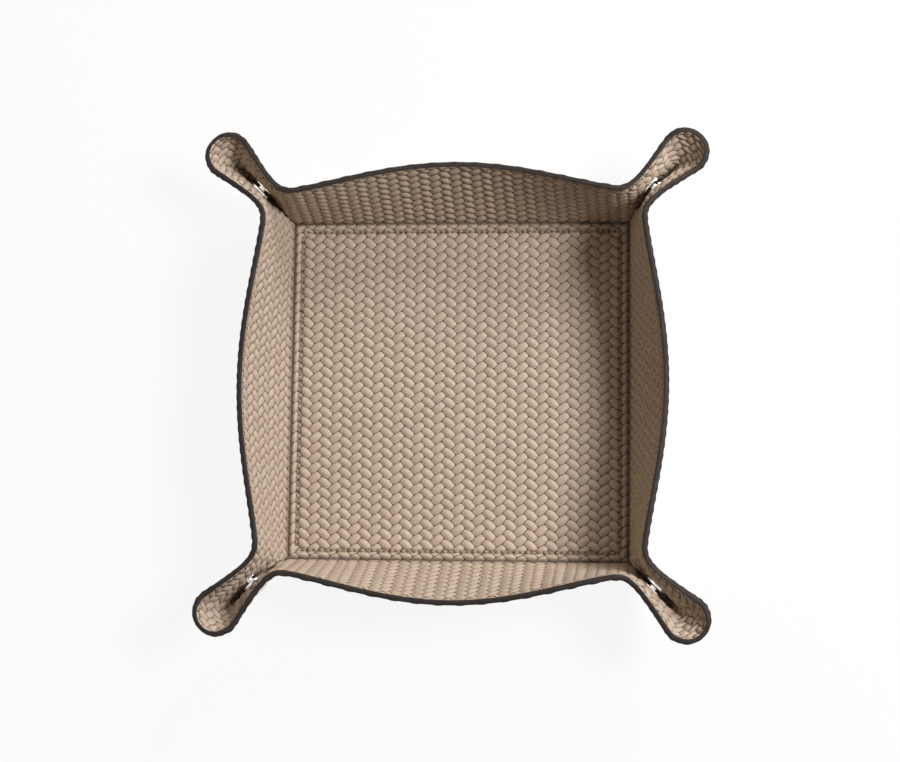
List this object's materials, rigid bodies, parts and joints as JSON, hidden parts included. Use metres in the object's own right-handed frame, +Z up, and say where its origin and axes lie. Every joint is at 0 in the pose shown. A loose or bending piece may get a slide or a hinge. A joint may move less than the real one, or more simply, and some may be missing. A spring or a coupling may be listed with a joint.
{
  "type": "valet tray",
  "caption": "Square leather valet tray with a herringbone plaited lining, stitched base and corners pinched into ears by press studs; it unsnaps and folds open flat.",
  "frame": {"origin": "middle of the base's underside, on the surface that the tray stands on", "axes": "+Z up, +Y to the back wall (the picture's top), +X to the right wall"},
  "size_m": [0.2156, 0.2156, 0.0462],
  "materials": {
    "lining_leather": "taupe leather plaited in a herringbone, low sheen",
    "outer_leather": "smooth pale taupe leather with a dark edge coat",
    "board": "grey-brown fibreboard",
    "thread": "waxed taupe thread",
    "snap_metal": "bright nickel"
  },
  "bodies": {
    "base": {"base_outer": "outer_leather", "base_board": "board", "base_lining": "lining_leather", "base_stitching": "thread"},
    "back_wall": {"back_wall_lining": "lining_leather", "back_wall_outer": "outer_leather"},
    "right_wall": {"right_wall_lining": "lining_leather", "right_wall_outer": "outer_leather"},
    "front_wall": {"front_wall_lining": "lining_leather", "front_wall_outer": "outer_leather"},
    "left_wall": {"left_wall_lining": "lining_leather", "left_wall_outer": "outer_leather"},
    "back_right_ear_by_back": {"back_right_ear_by_back_lining": "lining_leather", "back_right_ear_by_back_outer": "outer_leather", "back_right_snap_cap": "snap_metal", "back_right_snap_socket": "snap_metal"},
    "back_right_keel_by_back": {"back_right_keel_by_back_lining": "lining_leather", "back_right_keel_by_back_outer": "outer_leather"},
    "back_right_ear_by_right": {"back_right_ear_by_right_lining": "lining_leather", "back_right_ear_by_right_outer": "outer_leather", "back_right_snap_stud": "snap_metal", "back_right_snap_post": "snap_metal"},
    "back_right_keel_by_right": {"back_right_keel_by_right_lining": "lining_leather", "back_right_keel_by_right_outer": "outer_leather"},
    "front_right_ear_by_right": {"front_right_ear_by_right_lining": "lining_leather", "front_right_ear_by_right_outer": "outer_leather", "front_right_snap_cap": "snap_metal", "front_right_snap_socket": "snap_metal"},
    "front_right_keel_by_right": {"front_right_keel_by_right_lining": "lining_leather", "front_right_keel_by_right_outer": "outer_leather"},
    "front_right_ear_by_front": {"front_right_ear_by_front_lining": "lining_leather", "front_right_ear_by_front_outer": "outer_leather", "front_right_snap_stud": "snap_metal", "front_right_snap_post": "snap_metal"},
    "front_right_keel_by_front": {"front_right_keel_by_front_lining": "lining_leather", "front_right_keel_by_front_outer": "outer_leather"},
    "front_left_ear_by_front": {"front_left_ear_by_front_lining": "lining_leather", "front_left_ear_by_front_outer": "outer_leather", "front_left_snap_cap": "snap_metal", "front_left_snap_socket": "snap_metal"},
    "front_left_keel_by_front": {"front_left_keel_by_front_lining": "lining_leather", "front_left_keel_by_front_outer": "outer_leather"},
    "front_left_ear_by_left": {"front_left_ear_by_left_lining": "lining_leather", "front_left_ear_by_left_outer": "outer_leather", "front_left_snap_stud": "snap_metal", "front_left_snap_post": "snap_metal"},
    "front_left_keel_by_left": {"front_left_keel_by_left_lining": "lining_leather", "front_left_keel_by_left_outer": "outer_leather"},
    "back_left_ear_by_left": {"back_left_ear_by_left_lining": "lining_leather", "back_left_ear_by_left_outer": "outer_leather", "back_left_snap_cap": "snap_metal", "back_left_snap_socket": "snap_metal"},
    "back_left_keel_by_left": {"back_left_keel_by_left_lining": "lining_leather", "back_left_keel_by_left_outer": "outer_leather"},
    "back_left_ear_by_back": {"back_left_ear_by_back_lining": "lining_leather", "back_left_ear_by_back_outer": "outer_leather", "back_left_snap_stud": "snap_metal", "back_left_snap_post": "snap_metal"},
    "back_left_keel_by_back": {"back_left_keel_by_back_lining": "lining_leather", "back_left_keel_by_back_outer": "outer_leather"}
  },
  "joints": [
    {"name": "back_wall_fold", "type": "hinge", "parent": "base", "child": "back_wall", "pos_m": [0, 0.0763, 0.0023], "axis": [-1, 0, 0], "range_deg": [0, 62]},
    {"name": "right_wall_fold", "type": "hinge", "parent": "base", "child": "right_wall", "pos_m": [0.0763, 0, 0.0023], "axis": [0, 1, 0], "range_deg": [0, 62]},
    {"name": "front_wall_fold", "type": "hinge", "parent": "base", "child": "front_wall", "pos_m": [0, -0.0763, 0.0023], "axis": [1, 0, 0], "range_deg": [0, 62]},
    {"name": "left_wall_fold", "type": "hinge", "parent": "base", "child": "left_wall", "pos_m": [-0.0763, 0, 0.0023], "axis": [0, -1, 0], "range_deg": [0, 62]},
    {"name": "back_right_ear_by_back_crease", "type": "hinge", "parent": "back_wall", "child": "back_right_ear_by_back", "pos_m": [0.07288, 0.0754, 0.00783], "axis": [-0.0011, -0.0941, -0.9956], "range_deg": [0, 34.1]},
    {"name": "back_right_keel_by_back_bend", "type": "hinge", "parent": "back_right_ear_by_back", "child": "back_right_keel_by_back", "pos_m": [0.07635, 0.08335, 0.01384], "axis": [0.3451, 0.5673, 0.7477], "range_deg": [0, 37.2]},
    {"name": "back_right_ear_by_right_crease", "type": "hinge", "parent": "right_wall", "child": "back_right_ear_by_right", "pos_m": [0.0754, 0.07288, 0.00783], "axis": [0.0941, 0.0011, 0.9956], "range_deg": [0, 34.1]},
    {"name": "back_right_keel_by_right_bend", "type": "hinge", "parent": "back_right_ear_by_right", "child": "back_right_keel_by_right", "pos_m": [0.08335, 0.07635, 0.01384], "axis": [-0.5673, -0.3451, -0.7477], "range_deg": [0, 37.2]},
    {"name": "front_right_ear_by_right_crease", "type": "hinge", "parent": "right_wall", "child": "front_right_ear_by_right", "pos_m": [0.0754, -0.07288, 0.00783], "axis": [-0.0941, 0.0011, -0.9956], "range_deg": [0, 34.1]},
    {"name": "front_right_keel_by_right_bend", "type": "hinge", "parent": "front_right_ear_by_right", "child": "front_right_keel_by_right", "pos_m": [0.08335, -0.07635, 0.01384], "axis": [0.5673, -0.3451, 0.7477], "range_deg": [0, 37.2]},
    {"name": "front_right_ear_by_front_crease", "type": "hinge", "parent": "front_wall", "child": "front_right_ear_by_front", "pos_m": [0.07288, -0.0754, 0.00783], "axis": [0.0011, -0.0941, 0.9956], "range_deg": [0, 34.1]},
    {"name": "front_right_keel_by_front_bend", "type": "hinge", "parent": "front_right_ear_by_front", "child": "front_right_keel_by_front", "pos_m": [0.07635, -0.08335, 0.01384], "axis": [-0.3451, 0.5673, -0.7477], "range_deg": [0, 37.2]},
    {"name": "front_left_ear_by_front_crease", "type": "hinge", "parent": "front_wall", "child": "front_left_ear_by_front", "pos_m": [-0.07288, -0.0754, 0.00783], "axis": [0.0011, 0.0941, -0.9956], "range_deg": [0, 34.1]},
    {"name": "front_left_keel_by_front_bend", "type": "hinge", "parent": "front_left_ear_by_front", "child": "front_left_keel_by_front", "pos_m": [-0.07635, -0.08335, 0.01384], "axis": [-0.3451, -0.5673, 0.7477], "range_deg": [0, 37.2]},
    {"name": "front_left_ear_by_left_crease", "type": "hinge", "parent": "left_wall", "child": "front_left_ear_by_left", "pos_m": [-0.0754, -0.07288, 0.00783], "axis": [-0.0941, -0.0011, 0.9956], "range_deg": [0, 34.1]},
    {"name": "front_left_keel_by_left_bend", "type": "hinge", "parent": "front_left_ear_by_left", "child": "front_left_keel_by_left", "pos_m": [-0.08335, -0.07635, 0.01384], "axis": [0.5673, 0.3451, -0.7477], "range_deg": [0, 37.2]},
    {"name": "back_left_ear_by_left_crease", "type": "hinge", "parent": "left_wall", "child": "back_left_ear_by_left", "pos_m": [-0.0754, 0.07288, 0.00783], "axis": [0.0941, -0.0011, -0.9956], "range_deg": [0, 34.1]},
    {"name": "back_left_keel_by_left_bend", "type": "hinge", "parent": "back_left_ear_by_left", "child": "back_left_keel_by_left", "pos_m": [-0.08335, 0.07635, 0.01384], "axis": [-0.5673, 0.3451, 0.7477], "range_deg": [0, 37.2]},
    {"name": "back_left_ear_by_back_crease", "type": "hinge", "parent": "back_wall", "child": "back_left_ear_by_back", "pos_m": [-0.07288, 0.0754, 0.00783], "axis": [-0.0011, 0.0941, 0.9956], "range_deg": [0, 34.1]},
    {"name": "back_left_keel_by_back_bend", "type": "hinge", "parent": "back_left_ear_by_back", "child": "back_left_keel_by_back", "pos_m": [-0.07635, 0.08335, 0.01384], "axis": [0.3451, -0.5673, -0.7477], "range_deg": [0, 37.2]}
  ],
  "couplings": [
    {"joint": "right_wall_fold", "follows": "back_wall_fold", "ratio": 1},
    {"joint": "front_wall_fold", "follows": "back_wall_fold", "ratio": 1},
    {"joint": "left_wall_fold", "follows": "back_wall_fold", "ratio": 1},
    {"joint": "back_right_ear_by_back_crease", "follows": "back_wall_fold", "ratio": 0.55},
    {"joint": "back_right_keel_by_back_bend", "follows": "back_wall_fold", "ratio": 0.6},
    {"joint": "back_right_ear_by_right_crease", "follows": "back_wall_fold", "ratio": 0.55},
    {"joint": "back_right_keel_by_right_bend", "follows": "back_wall_fold", "ratio": 0.6},
    {"joint": "front_right_ear_by_right_crease", "follows": "back_wall_fold", "ratio": 0.55},
    {"joint": "front_right_keel_by_right_bend", "follows": "back_wall_fold", "ratio": 0.6},
    {"joint": "front_right_ear_by_front_crease", "follows": "back_wall_fold", "ratio": 0.55},
    {"joint": "front_right_keel_by_front_bend", "follows": "back_wall_fold", "ratio": 0.6},
    {"joint": "front_left_ear_by_front_crease", "follows": "back_wall_fold", "ratio": 0.55},
    {"joint": "front_left_keel_by_front_bend", "follows": "back_wall_fold", "ratio": 0.6},
    {"joint": "front_left_ear_by_left_crease", "follows": "back_wall_fold", "ratio": 0.55},
    {"joint": "front_left_keel_by_left_bend", "follows": "back_wall_fold", "ratio": 0.6},
    {"joint": "back_left_ear_by_left_crease", "follows": "back_wall_fold", "ratio": 0.55},
    {"joint": "back_left_keel_by_left_bend", "follows": "back_wall_fold", "ratio": 0.6},
    {"joint": "back_left_ear_by_back_crease", "follows": "back_wall_fold", "ratio": 0.55},
    {"joint": "back_left_keel_by_back_bend", "follows": "back_wall_fold", "ratio": 0.6}
  ]
}
